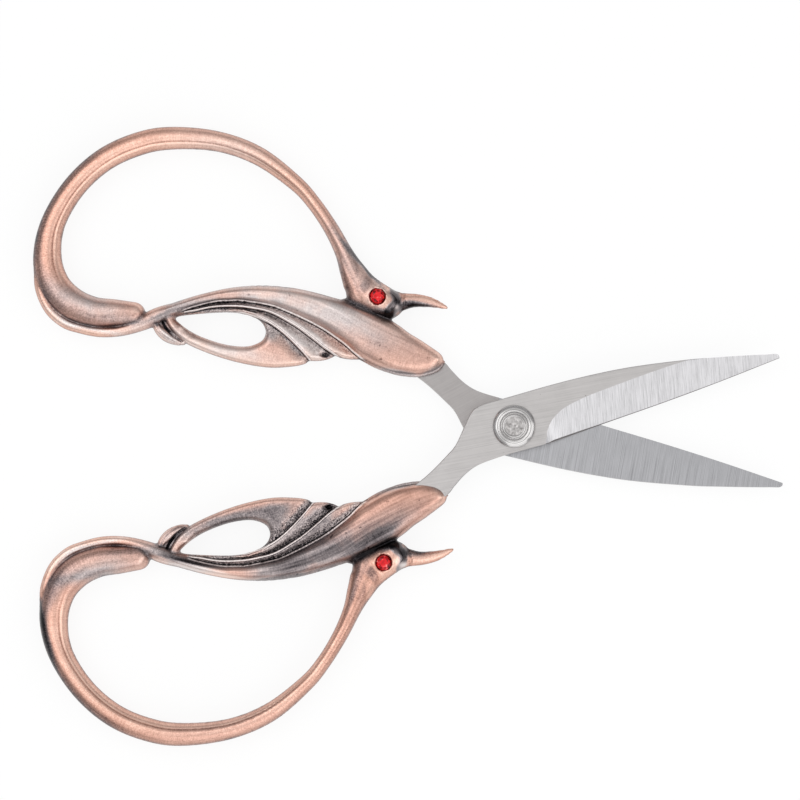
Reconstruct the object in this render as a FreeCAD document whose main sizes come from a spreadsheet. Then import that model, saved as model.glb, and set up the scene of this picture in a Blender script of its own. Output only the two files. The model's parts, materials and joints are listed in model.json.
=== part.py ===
import FreeCAD, Part
import os
import Sketcher
from FreeCAD import Placement, Rotation, Vector

# Small straight-bladed craft scissors with cast handles in the shape of long-necked birds.
# Each half is one steel blade whose tang is held in a cast handle: the wing holds the tang, the
# neck runs on into the finger ring, and the end of the ring curls back under the tail.
# Both halves are the same piece, one of them turned over.
# A half is drawn closed: pivot at the origin, tip along +X, handle on the +Y side, and the plane
# where the two blades meet at z = 0. It is then swung open and lifted to its place.

SIZES = {
    # Blade and shank.
    "blade_length": 45.1,
    "blade_width": 9.0,
    "blade_thickness": 1.5,
    "blade_gap": 0.05,
    "edge_land": 0.12,
    "tang_hole_diameter": 1.6,
    # Cast handle: nose of the wing to the far end of the ring, centreline to the top of the ring.
    "handle_length": 69.7,
    "ring_height": 37.7,
    "casting_thickness": 6.0,
    "feather_thickness": 3.0,
    # Pivot. Overhangs are measured outwards from the rivet's shank.
    "rest_opening": 26.8,
    "rivet_diameter": 3.0,
    "pivot_clearance": 0.05,
    "rear_head_overhang": 0.7,
    "rear_head_chamfer": 0.3,
    "peened_head_overhang": 0.7,
    "peened_head_height": 0.45,
    "washer_overhang": 2.0,
    "washer_thickness": 0.5,
    "cup_rim_height": 0.4,
    "cup_rim_width": 0.35,
    "cup_flank_width": 0.8,
    "washer_gap": 0.03,
    # Stones set in both faces of each head.
    "gem_diameter": 2.5,
    "gem_height": 0.95,
    "gem_girdle_height": 0.33,
    "gem_table_diameter": 1.3,
    "gem_clearance": 0.05,
    "gem_recess_depth": 1.0,
}

# The sizes at which the outlines below are drawn.
DRAWN_BLADE_LENGTH = 45.1
DRAWN_BLADE_WIDTH = 9.0
DRAWN_HANDLE_LENGTH = 69.7
DRAWN_RING_HEIGHT = 37.7
NOSE_X = -13.6
PLATE_X = -6.2
WING_TOP_Y = 14.8

doc = FreeCAD.newDocument("scissors")
sheet = doc.addObject("Spreadsheet::Sheet", "sizes")
for row, (alias, number) in enumerate(SIZES.items(), start=1):
    sheet.set(f"A{row}", alias)
    sheet.set(f"B{row}", str(number))
    sheet.setAlias(f"B{row}", alias)
doc.recompute()


def size(alias):
    return float(sheet.get(alias))


def stretched(x, y):
    """A drawn point of a half, moved to suit the lengths and widths in the sheet."""
    if x > 0:
        x *= size("blade_length") / DRAWN_BLADE_LENGTH
    if x > PLATE_X:
        y *= size("blade_width") / DRAWN_BLADE_WIDTH
    if x < NOSE_X:
        x = NOSE_X + (x - NOSE_X) * size("handle_length") / DRAWN_HANDLE_LENGTH
    if y > WING_TOP_Y:
        rise = size("ring_height") - WING_TOP_Y
        y = WING_TOP_Y + (y - WING_TOP_Y) * rise / (DRAWN_RING_HEIGHT - WING_TOP_Y)
    return x, y


def flat_points(drawn, z=0.0):
    return [Vector(*stretched(x, y), z) for x, y in drawn]


def spline(points, closed=False):
    curve = Part.BSplineCurve()
    curve.interpolate(Points=points, PeriodicFlag=closed)
    return curve


# ---------------------------------------------------------------------------------- the blade

TIP = (45.1, 0.2)
SPINE_END = (-1.0, -4.85)
TANG_INNER_END = (-30.5, 9.6)
TANG_OUTER_END = (-30.5, 11.6)
SHANK_TOP = (-2.6, 4.15)
HEEL = (5.0, 4.1)

SPINE = [TIP, (43.0, -0.8), (40.0, -1.5), (35.0, -2.5), (30.0, -3.4), (20.0, -4.65),
         (10.0, -5.05), SPINE_END]
SHANK_INNER = [SPINE_END, (-3.5, -4.8), (-5.0, -4.6), (-6.2, -4.0), (-8.0, -1.9), (-10.0, 0.5),
               (-12.0, 1.9), (-15.0, 3.7), (-17.5, 4.9), (-23.0, 7.3), TANG_INNER_END]
SHANK_OUTER = [TANG_OUTER_END, (-23.0, 10.5), (-17.0, 9.2), (-13.5, 8.1), (-12.0, 7.05),
               (-10.0, 5.7), (-8.0, 4.8), (-6.0, 4.4), SHANK_TOP]
CUTTING_EDGE = [HEEL, (14.0, 3.3), (25.0, 2.4), (35.0, 1.4), TIP]
TANG_HOLE = (-25.5, 9.6)

# Where the ground bevel meets the flat, from the heel to the spine near the tip.
GRIND_LINE = [(4.3, 3.95), (4.7, 3.1), (5.1, 2.1), (5.7, 1.2), (6.5, 0.4), (7.5, -0.25),
              (9.0, -0.95), (12.0, -1.6), (15.0, -2.0), (20.0, -2.5), (25.0, -2.95), (32.0, -3.3),
              (40.0, -3.0), (47.0, -2.2)]


def origin_plane(body, role):
    return next(plane for plane in body.Origin.OriginFeatures if plane.Role == role)


def sketch_in(body, name, role):
    sketch = body.newObject("Sketcher::SketchObject", name)
    sketch.AttachmentSupport = [(origin_plane(body, role), "")]
    sketch.MapMode = "FlatFace"
    return sketch


def add_bound_circle(sketch, centre, label, diameter_formula):
    """A circle whose place is fixed and whose diameter follows a formula of the sheet."""
    index = sketch.addGeometry(Part.Circle(centre, Vector(0, 0, 1), 1.0))
    sketch.addConstraint(Sketcher.Constraint("DistanceX", -1, 1, index, 3, centre.x))
    sketch.addConstraint(Sketcher.Constraint("DistanceY", -1, 1, index, 3, centre.y))
    diameter = sketch.addConstraint(Sketcher.Constraint("Diameter", index, 2.0))
    sketch.renameConstraint(diameter, label)
    sketch.setExpression("Constraints." + label, diameter_formula)


def blade_blank(name, place, bore_formula):
    body = doc.addObject("PartDesign::Body", name + "_blank")
    outline = sketch_in(body, name + "_outline", "XY_Plane")
    outline.setExpression("AttachmentOffset.Base.z", "-sizes.blade_gap / 2")
    for drawn in (SPINE, SHANK_INNER, SHANK_OUTER, CUTTING_EDGE):
        outline.addGeometry(spline(flat_points(drawn)))
    for start, end in ((TANG_INNER_END, TANG_OUTER_END), (SHANK_TOP, HEEL)):
        outline.addGeometry(Part.LineSegment(*flat_points([start, end])))
    add_bound_circle(outline, Vector(0, 0, 0), "bore", bore_formula)
    add_bound_circle(outline, flat_points([TANG_HOLE])[0], "tang_hole", "sizes.tang_hole_diameter")
    pad = body.newObject("PartDesign::Pad", name + "_plate")
    pad.Profile = outline
    pad.Reversed = True
    pad.setExpression("Length", "sizes.blade_thickness")
    outline.Visibility = False
    body.Placement = place
    return body


def edge_y(x):
    """Height of the cutting edge above the centreline at a drawn x, flat behind the heel."""
    points = [(HEEL[0] - 1.0, HEEL[1])] + CUTTING_EDGE + [(TIP[0] + 3.0, TIP[1] - 0.3)]
    for (x0, y0), (x1, y1) in zip(points, points[1:]):
        if x <= x1:
            return y0 + (y1 - y0) * (x - x0) / (x1 - x0)
    return points[-1][1]


def bevel_cutter(name, place):
    """The steel ground away between the grind line and the cutting edge, on the outer face."""
    overshoot = 0.4
    face_z = -size("blade_gap") / 2 - size("blade_thickness")
    land_z = -size("blade_gap") / 2 - size("edge_land")
    sections = []
    for x, grind_y in GRIND_LINE:
        x_now, ridge = stretched(x, grind_y)
        edge = stretched(x, edge_y(x))[1]
        slope = (land_z - face_z) / (edge - ridge)
        beyond = edge + overshoot
        corners = [Vector(x_now, ridge - overshoot, face_z - slope * overshoot),
                   Vector(x_now, beyond, land_z + slope * overshoot),
                   Vector(x_now, beyond, face_z - slope * overshoot)]
        sections.append(Part.makePolygon(corners + corners[:1]))
    cutter = doc.addObject("Part::Feature", name + "_bevel")
    cutter.Shape = Part.makeLoft(sections, True, True)
    cutter.Placement = place
    return cutter


def cut(label, base, tool):
    result = doc.addObject("Part::Cut", label)
    result.Base = base
    result.Tool = tool
    return result


def blade(name, place, bore_formula):
    return cut(name, blade_blank(name, place, bore_formula), bevel_cutter(name, place))


# ---------------------------------------------------------------------------- the cast handle
# A strand is a rounded bar that follows a line of stations: x, y, width across the line, and
# height as a share of the casting's thickness.

HEAD_AND_RING = [(-23.3, 15.9, 2.6, 0.55), (-24.6, 16.0, 4.2, 0.85), (-26.4, 16.3, 4.9, 0.97),
                 (-29.0, 17.3, 5.2, 0.92), (-31.0, 19.2, 4.3, 0.86), (-33.1, 22.0, 3.0, 0.78),
                 (-36.2, 25.7, 2.5, 0.72), (-39.8, 29.2, 2.4, 0.70), (-43.6, 31.9, 2.6, 0.70),
                 (-50.4, 35.0, 3.1, 0.72), (-57.5, 36.0, 3.4, 0.75), (-65.0, 34.9, 3.7, 0.78),
                 (-70.4, 32.7, 3.9, 0.80), (-75.4, 28.9, 3.9, 0.82), (-79.1, 23.5, 3.85, 0.84),
                 (-81.1, 17.0, 4.0, 0.86), (-80.9, 11.2, 4.7, 0.90), (-78.6, 7.0, 5.2, 0.96),
                 (-75.2, 4.6, 5.3, 0.99), (-71.6, 4.1, 5.1, 0.98), (-67.8, 4.5, 4.8, 0.94),
                 (-64.9, 4.95, 3.8, 0.75), (-63.2, 5.1, 1.5, 0.35)]
BEAK = [(-24.8, 16.1, 3.0, 0.60), (-22.0, 16.3, 3.3, 0.55), (-20.0, 16.85, 2.4, 0.42),
        (-18.0, 17.2, 1.6, 0.30), (-16.0, 17.2, 0.7, 0.18), (-14.8, 17.02, 0.3, 0.10)]
TAIL_AND_STEM = [(-81.2, 8.5, 2.4, 0.60), (-80.4, 5.4, 2.0, 0.60), (-78.4, 2.8, 1.7, 0.60),
                 (-75.8, 1.3, 1.6, 0.60), (-73.0, 0.95, 1.6, 0.60), (-70.0, 1.0, 1.6, 0.60),
                 (-67.0, 1.65, 1.6, 0.62), (-64.5, 2.75, 1.8, 0.65), (-62.2, 4.5, 2.3, 0.70),
                 (-60.2, 6.1, 2.5, 0.75), (-57.6, 7.9, 2.7, 0.80)]
LOOP = [(-60.6, 6.1, 1.6, 0.50), (-58.6, 4.75, 1.7, 0.55), (-55.6, 3.3, 2.0, 0.62),
        (-50.0, 2.3, 2.4, 0.70), (-45.0, 2.35, 2.9, 0.70), (-40.0, 3.4, 3.6, 0.66),
        (-36.6, 4.6, 2.8, 0.52)]
CURL = [(-61.6, 4.3, 0.8, 0.35), (-60.0, 2.95, 0.9, 0.40), (-58.0, 2.25, 0.9, 0.40),
        (-55.8, 2.4, 0.7, 0.35)]

# The wing is a lens-shaped body: x, lower edge, upper edge, height as a share of the thickness.
WING = [(-60.0, 5.6, 7.5, 0.62), (-57.0, 7.2, 9.4, 0.72), (-52.0, 9.5, 11.9, 0.82),
        (-46.0, 10.7, 13.9, 0.92), (-40.0, 10.3, 14.75, 0.97), (-34.0, 8.9, 14.6, 0.99),
        (-28.0, 6.5, 13.6, 0.98), (-23.5, 5.0, 12.7, 0.94), (-20.0, 4.7, 11.5, 0.88),
        (-17.0, 5.1, 10.4, 0.78), (-15.0, 6.0, 9.6, 0.66), (-14.0, 6.9, 8.9, 0.50),
        (-13.6, 7.4, 8.5, 0.35)]

# The feather web between the wing and the loop, with its scalloped rim and teardrop opening.
WEB_UPPER = [(-60.2, 5.9), (-55.0, 9.2), (-50.0, 11.3), (-45.0, 12.2), (-40.0, 12.2),
             (-34.0, 10.8), (-28.0, 8.4), (-25.5, 7.0)]
FEATHER_A = [(-25.5, 7.0), (-27.2, 5.75), (-29.2, 5.2), (-31.0, 5.3)]
FEATHER_B = [(-31.0, 5.3), (-32.3, 4.4), (-33.8, 3.8), (-35.1, 3.6)]
WEB_LOWER = [(-35.1, 3.6), (-37.5, 2.2), (-41.0, 1.25), (-45.0, 0.95), (-50.0, 1.2),
             (-55.0, 2.15), (-58.2, 3.7), (-60.2, 5.9)]
TEARDROP = [(-57.8, 6.0), (-55.0, 7.25), (-50.0, 8.6), (-46.5, 8.9), (-44.0, 8.1), (-43.0, 6.4),
            (-44.0, 4.6), (-46.5, 3.6), (-50.0, 3.4), (-54.0, 3.95), (-57.0, 5.1)]

GEM_CENTRE = (-26.2, 16.1)

# Rounded section: corners of a superellipse, as shares of the half width and half height.
SECTION = [(1.0, 0.0), (0.88, 0.55), (0.5, 0.9), (0.0, 1.0), (-0.5, 0.9), (-0.88, 0.55),
           (-1.0, 0.0), (-0.88, -0.55), (-0.5, -0.9), (0.0, -1.0), (0.5, -0.9), (0.88, -0.55)]


def section_wire(centre, across, width, height):
    half_width = across * (width / 2)
    half_height = Vector(0, 0, height / 2)
    points = [centre + half_width * u + half_height * v for u, v in SECTION]
    return Part.Wire([spline(points, closed=True).toShape()])


def strand(stations):
    thickness = size("casting_thickness")
    centres = flat_points([station[:2] for station in stations])
    sections = []
    for index, centre in enumerate(centres):
        before = centres[max(index - 1, 0)]
        after = centres[min(index + 1, len(centres) - 1)]
        along = (after - before).normalize()
        width, share = stations[index][2:]
        sections.append(section_wire(centre, Vector(-along.y, along.x, 0), width, share * thickness))
    return Part.makeLoft(sections, True, False)


def wing():
    thickness = size("casting_thickness")
    sections = []
    for x, lower, upper, share in WING:
        middle = flat_points([(x, (lower + upper) / 2)])[0]
        sections.append(section_wire(middle, Vector(0, 1, 0), upper - lower, share * thickness))
    return Part.makeLoft(sections, True, False)


def feather_web():
    thickness = size("feather_thickness")
    low = -thickness / 2
    rim = [spline(flat_points(drawn, low)).toShape()
           for drawn in (WEB_UPPER, FEATHER_A, FEATHER_B, WEB_LOWER)]
    opening = Part.Wire([spline(flat_points(TEARDROP, low), closed=True).toShape()])
    web = Part.Face(Part.Wire(rim)).extrude(Vector(0, 0, thickness))
    return web.cut(Part.Face(opening).extrude(Vector(0, 0, thickness)))


def casting_blank(name, place):
    blank = doc.addObject("Part::Feature", name + "_blank")
    strands = [strand(stations) for stations in (BEAK, TAIL_AND_STEM, LOOP, CURL)]
    blank.Shape = strand(HEAD_AND_RING).fuse([wing(), feather_web()] + strands)
    blank.Placement = place
    return blank


def gem_recesses(name, place):
    """Two flat-bottomed round recesses, one in each face of the head."""
    centre = flat_points([GEM_CENTRE])[0]
    tools = []
    for side, sign in (("near", 1), ("far", -1)):
        recess = doc.addObject("Part::Cylinder", f"{name}_recess_{side}")
        recess.setExpression("Radius", "sizes.gem_diameter / 2 + sizes.gem_clearance")
        recess.setExpression("Height", "sizes.gem_recess_depth + 1")
        floor = sign * (size("casting_thickness") / 2 - size("gem_recess_depth"))
        turn = Rotation(Vector(1, 0, 0), 0 if sign > 0 else 180)
        recess.Placement = place * Placement(centre + Vector(0, 0, floor), turn)
        tools.append(recess)
    both = doc.addObject("Part::MultiFuse", name + "_recesses")
    both.Shapes = tools
    return both


def handle(name, place, held_blade):
    """The casting, cast round the tang so that its metal fills the tang's hole."""
    around_tang = cut(name + "_around_tang", casting_blank(name, place), held_blade)
    return cut(name, around_tang, gem_recesses(name, place))


# ----------------------------------------------------------------------------- stones and pivot

def revolved(name, profile, place):
    """A turned piece: profile points are radius and height, closed along the axis or in a ring."""
    body = doc.addObject("PartDesign::Body", name)
    sketch = sketch_in(body, name + "_profile", "XZ_Plane")
    corners = [Vector(radius, height, 0) for radius, height in profile]
    for start, end in zip(corners, corners[1:] + corners[:1]):
        sketch.addGeometry(Part.LineSegment(start, end))
    turning = body.newObject("PartDesign::Revolution", name + "_turned")
    turning.Profile = sketch
    turning.ReferenceAxis = (sketch, ["V_Axis"])
    turning.Angle = 360
    body.Placement = place
    return body


def gem(name, place, sign):
    """A flat-backed stone on the floor of its recess."""
    radius = size("gem_diameter") / 2
    girdle = size("gem_girdle_height")
    profile = [(0, 0), (radius, 0), (radius, girdle),
               (size("gem_table_diameter") / 2, size("gem_height")), (0, size("gem_height"))]
    floor = sign * (size("casting_thickness") / 2 - size("gem_recess_depth"))
    seat = flat_points([GEM_CENTRE])[0] + Vector(0, 0, floor)
    turn = Rotation(Vector(1, 0, 0), 0 if sign > 0 else 180)
    return revolved(name, profile, place * Placement(seat, turn))


def pivot_pieces():
    """Rivet and its two washers, stacked from the resting plane up through both blades."""
    upright = Placement()
    middle = size("casting_thickness") / 2
    rear_face = middle - size("blade_gap") / 2 - size("blade_thickness")
    front_face = middle + size("blade_gap") / 2 + size("blade_thickness")
    shank = size("rivet_diameter") / 2
    washer_bore = shank + size("pivot_clearance")
    washer_radius = shank + size("washer_overhang")

    # Rear washer, between the rear head and the rear blade.
    head_top = rear_face - size("washer_thickness")
    rear_washer = [(washer_bore, head_top), (washer_radius, head_top),
                   (washer_radius, rear_face), (washer_bore, rear_face)]

    # Front washer: a cup with a sloping flank and a raised rim round the peened head.
    under = front_face + size("washer_gap")
    cup_floor = under + size("washer_thickness")
    rim_top = cup_floor + size("cup_rim_height")
    rim_outside = washer_radius - size("cup_flank_width")
    rim_inside = rim_outside - size("cup_rim_width")
    front_washer = [(washer_bore, under), (washer_radius, under),
                    (washer_radius, under + 0.3 * size("washer_thickness")),
                    (rim_outside, rim_top), (rim_inside, rim_top), (rim_inside, cup_floor),
                    (washer_bore, cup_floor)]

    # Rivet: flat rear head on the resting plane, shank, and a peened head in the cup.
    rear_head = shank + size("rear_head_overhang")
    chamfer = size("rear_head_chamfer")
    peened = shank + size("peened_head_overhang")
    peened_top = cup_floor + size("peened_head_height")
    rivet = [(0, 0), (rear_head - chamfer, 0), (rear_head, chamfer), (rear_head, head_top),
             (shank, head_top), (shank, cup_floor), (peened, cup_floor),
             (peened, cup_floor + 0.7 * size("peened_head_height")),
             (0.9 * peened, peened_top), (0, peened_top)]
    return [revolved("pivot_rivet", rivet, upright),
            revolved("rear_washer", rear_washer, upright),
            revolved("front_washer", front_washer, upright)]


# ------------------------------------------------------------------------------- the assembly

def half(blade_name, handle_name, turned_over, bore_formula):
    swing = size("rest_opening") / 2
    lift = Vector(0, 0, size("casting_thickness") / 2)
    turn = Rotation(Vector(0, 0, 1), -swing)
    if turned_over:
        turn = Rotation(Vector(0, 0, 1), swing) * Rotation(Vector(1, 0, 0), 180)
    place = Placement(lift, turn)
    steel = blade(blade_name, place, bore_formula)
    casting = handle(handle_name, place, steel)
    up = -1 if turned_over else 1
    stem = handle_name.replace("_handle", "")
    gems = [gem(stem + "_front_gem", place, up), gem(stem + "_back_gem", place, -up)]
    return [steel, casting] + gems


subparts = half("rear_blade", "upper_handle", False, "sizes.rivet_diameter")
subparts += half("front_blade", "lower_handle", True,
                 "sizes.rivet_diameter + 2 * sizes.pivot_clearance")
subparts += pivot_pieces()
doc.recompute()

for item in doc.Objects:
    if "Invalid" in item.State or "Error" in item.State:
        raise RuntimeError(f"{item.Label} failed to build: {item.State}")
for subpart in subparts:
    if subpart.Shape.isNull() or not subpart.Shape.isValid():
        raise RuntimeError(f"{subpart.Label} has no valid shape")

os.makedirs("parts", exist_ok=True)
for subpart in subparts:
    subpart.Shape.exportStep(f"parts/{subpart.Label}.step")
    print(subpart.Label, len(subpart.Shape.Solids), round(subpart.Shape.Volume, 3))
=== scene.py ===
import json
import math

import bpy
import numpy as np
from mathutils import Matrix, Vector, geometry

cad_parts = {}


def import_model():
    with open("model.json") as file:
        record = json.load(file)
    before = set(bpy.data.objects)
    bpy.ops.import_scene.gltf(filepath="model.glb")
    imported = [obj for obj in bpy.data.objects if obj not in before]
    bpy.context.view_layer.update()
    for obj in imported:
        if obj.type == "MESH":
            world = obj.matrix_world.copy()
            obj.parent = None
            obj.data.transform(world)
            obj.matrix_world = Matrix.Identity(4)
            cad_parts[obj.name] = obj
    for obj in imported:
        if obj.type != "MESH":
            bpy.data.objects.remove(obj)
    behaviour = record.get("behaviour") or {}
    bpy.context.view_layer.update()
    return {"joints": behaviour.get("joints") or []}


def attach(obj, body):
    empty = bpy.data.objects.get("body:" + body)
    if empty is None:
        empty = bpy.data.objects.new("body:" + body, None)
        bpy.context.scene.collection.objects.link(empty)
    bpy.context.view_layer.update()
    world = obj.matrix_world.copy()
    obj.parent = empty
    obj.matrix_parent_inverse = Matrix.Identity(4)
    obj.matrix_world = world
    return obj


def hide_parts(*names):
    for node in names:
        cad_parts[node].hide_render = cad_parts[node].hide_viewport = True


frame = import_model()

# The looks of a small pair of craft scissors with cast handles in the shape of long-necked birds.
# One half is drawn closed, in millimetres: pivot at the origin, tip along +X, handle on the +Y
# side, z = 0 in the plane where the blades meet. It is then turned into its place twice, once the
# right way up and once turned over, as the two real halves are the same piece.

MM = 0.001
HALF_OPENING = math.radians(13.4)
PIVOT_HEIGHT = frame["joints"][0]["pos_m"][2]
LIFT = Matrix.Translation((0, 0, PIVOT_HEIGHT))
TURNED_OVER = Matrix.Rotation(math.pi, 4, "X")
PLACES = {
    "upper": LIFT @ Matrix.Rotation(-HALF_OPENING, 4, "Z"),
    "lower": LIFT @ Matrix.Rotation(HALF_OPENING, 4, "Z") @ TURNED_OVER,
}
BODIES = {"upper": "rear_half", "lower": "front_half"}

# ------------ curves


def smooth_line(stations, steps=12, closed=False):
    """A Catmull-Rom curve through the stations, with every further column carried along it."""
    points = np.array(stations, float)
    if closed:
        points = np.vstack([points[-1:], points, points[:2]])
    else:
        points = np.vstack([2 * points[0] - points[1], points, 2 * points[-1] - points[-2]])
    rows = []
    for a, b, c, d in zip(points, points[1:], points[2:], points[3:]):
        for u in np.arange(steps) / steps:
            rows.append(0.5 * (2 * b + (c - a) * u + (2 * a - 5 * b + 4 * c - d) * u ** 2
                               + (3 * b - a - 3 * c + d) * u ** 3))
    if not closed:
        rows.append(points[-2])
    return np.array(rows)


def nearest_on(line, x, y):
    """For every grid point: distance to the line, side of it (+1 is left), length along it to the
    nearest point, and the line's further columns there."""
    start, along = line[:-1, :2], np.diff(line[:, :2], axis=0)
    length2 = np.maximum((along ** 2).sum(1), 1e-12)
    travelled = np.concatenate([[0], np.cumsum(np.sqrt(length2))])
    flat = np.stack([x.ravel(), y.ravel()], 1)
    best = np.full(len(flat), np.inf)
    extra = np.zeros((len(flat), line.shape[1] - 2))
    side, where = np.ones(len(flat)), np.zeros(len(flat))
    for i in range(len(start)):
        offset = flat - start[i]
        share = np.clip((offset @ along[i]) / length2[i], 0, 1)
        gap = offset - share[:, None] * along[i]
        distance2 = (gap ** 2).sum(1)
        closer = distance2 < best
        best[closer] = distance2[closer]
        turn = along[i, 0] * offset[:, 1] - along[i, 1] * offset[:, 0]
        side[closer] = np.where(turn[closer] >= 0, 1, -1)
        where[closer] = travelled[i] + share[closer] * math.sqrt(length2[i])
        extra[closer] = line[i, 2:] + share[closer, None] * (line[i + 1, 2:] - line[i, 2:])
    return [column.reshape(x.shape) for column in (np.sqrt(best), side, where, *extra.T)]


def inside(outline, x, y):
    """True for the grid points inside a closed outline."""
    result = np.zeros(x.shape, bool)
    for (x0, y0), (x1, y1) in zip(outline, np.roll(outline, -1, axis=0)):
        crosses = (y0 > y) != (y1 > y)
        if y1 != y0:
            result ^= crosses & (x < (x1 - x0) * (y - y0) / (y1 - y0) + x0)
    return result


def depth_inside(curve, x, y):
    """How far inside a closed curve each point lies, negative outside it."""
    distance = nearest_on(np.vstack([curve, curve[:1]]), x, y)[0]
    return np.where(inside(curve, x, y), distance, -distance)


def height_at(x, curve):
    """A curve's second column, read at x."""
    return np.interp(x, curve[:, 0], curve[:, 1])


def smoothstep(low, high, value):
    u = np.clip((value - low) / (high - low), 0, 1)
    return u * u * (3 - 2 * u)


def blurred(field, passes):
    """A small binomial blur, repeated."""
    for _ in range(passes):
        padded = np.pad(field, 1, mode="edge")
        field = (padded[:-2, 1:-1] + 2 * padded[1:-1, 1:-1] + padded[2:, 1:-1]) / 4
        padded = np.pad(field, 1, mode="edge")
        field = (padded[1:-1, :-2] + 2 * padded[1:-1, 1:-1] + padded[1:-1, 2:]) / 4
    return field


def value_noise(u, v, seed):
    """Smooth repeatable noise in -1..1 over two coordinates."""
    table = np.random.default_rng(seed).uniform(-1, 1, (64, 64))
    iu, iv = np.floor(u).astype(int), np.floor(v).astype(int)
    fu, fv = u - iu, v - iv
    fu, fv = fu * fu * (3 - 2 * fu), fv * fv * (3 - 2 * fv)
    corner = [[table[(iu + a) % 64, (iv + b) % 64] for b in (0, 1)] for a in (0, 1)]
    low = corner[0][0] * (1 - fv) + corner[0][1] * fv
    high = corner[1][0] * (1 - fv) + corner[1][1] * fv
    return low * (1 - fu) + high * fu


# ------------ the relief of the casting
# Strands: x, y, width across the line, half thickness of the metal there.

NECK_AND_RING = [
    (-30.2, 18, 4.7, 2.45), (-31.6, 19.9, 3.85, 2.4), (-33.4, 22.4, 2.9, 2.25),
    (-36.2, 25.75, 2.5, 2.1), (-39.8, 29.2, 2.4, 2.05), (-43.6, 31.9, 2.6, 2.05),
    (-50.4, 34.95, 3.1, 2.1), (-57.5, 35.9, 3.35, 2.2), (-65, 34.85, 3.75, 2.3),
    (-70.2, 32.75, 3.85, 2.35), (-75.2, 28.95, 3.85, 2.4), (-79, 23.5, 3.85, 2.45),
    (-81.1, 17, 4.05, 2.5), (-80.8, 11.3, 4.7, 2.6), (-78.7, 7.1, 5.2, 2.75),
    (-75.4, 4.75, 5.4, 2.88), (-71.6, 4.05, 5.1, 2.92), (-68, 4.55, 4.7, 2.88),
    (-65, 5.05, 4.1, 2.7)]
HEAD = [
    (-33.4, 22.4, 2.9, 2.25), (-31.6, 19.9, 3.9, 2.4), (-29.6, 17.5, 5, 2.6),
    (-27.2, 16.2, 5.2, 2.8), (-25.2, 15.8, 4.9, 2.85), (-22, 15.8, 4.6, 2.8)]
HEAD_OUTLINE = [
    (-34.2, 21.9), (-33, 19.2), (-32, 17), (-31.2, 15.1), (-30.3, 14.2), (-28, 13.55), (-26, 13.1),
    (-24.4, 12.9), (-23.4, 13.15), (-22.5, 13.85), (-21.9, 14.65), (-21.65, 15.5), (-21.7, 16.4),
    (-22, 17), (-22.6, 17.4), (-23.6, 17.8), (-25, 18.28), (-26.5, 18.88), (-28, 19.65),
    (-30, 21.2), (-33.2, 23.75), (-34.6, 23.6)]
BEAK = [
    (-23.2, 16.2, 3.9, 1.65), (-21.6, 16.6, 3.1, 1.55), (-20, 17.1, 2.4, 1.35),
    (-18, 17.4, 1.8, 1.05), (-16.2, 17.3, 1.15, 0.7), (-14.9, 17.2, 0.8, 0.45)]
BEAK_OUTLINE = [
    (-24.2, 17.5), (-22.4, 17.75), (-20.2, 18.08), (-18.5, 18.14), (-17, 17.94), (-15.8, 17.58),
    (-14.95, 17.25), (-14.6, 16.95), (-14.8, 16.66), (-15.5, 16.5), (-16.4, 16.5), (-18, 16.28),
    (-20, 15.85), (-21.5, 15.05), (-22.5, 14.25), (-23.6, 13.4)]
BEAK_GROOVE = [(-22.7, 18.1), (-22.05, 17.2), (-21.75, 16.2), (-21.9, 15.2), (-22.7, 14.0)]
LEDGE = [
    (-31.6, 14.5, 0.8, 1), (-30.2, 14.25, 1.2, 1.35), (-28.4, 13.95, 1.3, 1.45),
    (-26.4, 13.45, 1.3, 1.45), (-24.8, 13.1, 1.2, 1.35), (-23.6, 12.95, 0.8, 1)]
TAIL_AND_STEM = [
    (-81.6, 9, 2, 1.3), (-80.7, 5.9, 1.9, 1.5), (-78.6, 3, 1.8, 1.55), (-75.8, 1.4, 1.8, 1.55),
    (-73, 1, 1.7, 1.55), (-70, 1.05, 1.7, 1.6), (-67, 1.75, 1.7, 1.7), (-64.5, 3, 2, 1.9),
    (-62.2, 4.75, 2.7, 2.1), (-60.2, 6.2, 2.6, 2.1), (-57.6, 7.75, 2, 1.9), (-54.5, 9.3, 1.4, 1.4)]
WING = [
    (-60.2, 6.45, 2.2, 2.05), (-57, 8.35, 2.3, 2.2), (-52, 10.75, 2.5, 2.4), (-46, 12.4, 3.1, 2.65),
    (-40, 12.65, 4.1, 2.82), (-34, 11.85, 5.4, 2.92), (-28, 10.1, 6.8, 2.95), (-23.6, 9, 7, 2.9),
    (-20, 8.3, 6.2, 2.75), (-17, 7.9, 5.6, 2.6), (-14, 7.7, 5.4, 2.45)]
WING_OUTLINE = [
    (-62.5, 6.1), (-59.5, 7.95), (-55, 10.5), (-50, 12.75), (-45, 14.15), (-40, 14.78),
    (-35, 14.72), (-31, 14.4), (-28, 13.95), (-25, 13.35), (-23.3, 12.9), (-21.6, 12.25),
    (-20, 11.5), (-18, 10.8), (-16, 10), (-14.4, 9.3), (-13.75, 8.7), (-13.55, 8), (-13.9, 7),
    (-14.8, 6.1), (-16, 5.5), (-17.5, 5), (-20.5, 4.7), (-22, 4.7), (-24, 5), (-26.5, 5.7),
    (-28, 6.2), (-30, 7.3), (-32, 8.2), (-34, 9), (-38, 10.1), (-42, 10.9), (-44, 11), (-48, 10.75),
    (-50, 10.3), (-52, 9.75), (-55, 8.35), (-58, 6.6), (-60, 5.3), (-62, 4.6)]
NOSE_LIP = [
    (-27, 5.75, 0.5, 0.5), (-24, 4.95, 0.6, 0.8), (-20.5, 4.6, 0.6, 0.8), (-17.5, 4.9, 0.6, 0.8),
    (-15.5, 5.65, 0.6, 0.8), (-14, 6.75, 0.6, 0.8), (-13.5, 8, 0.6, 0.6)]
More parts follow.
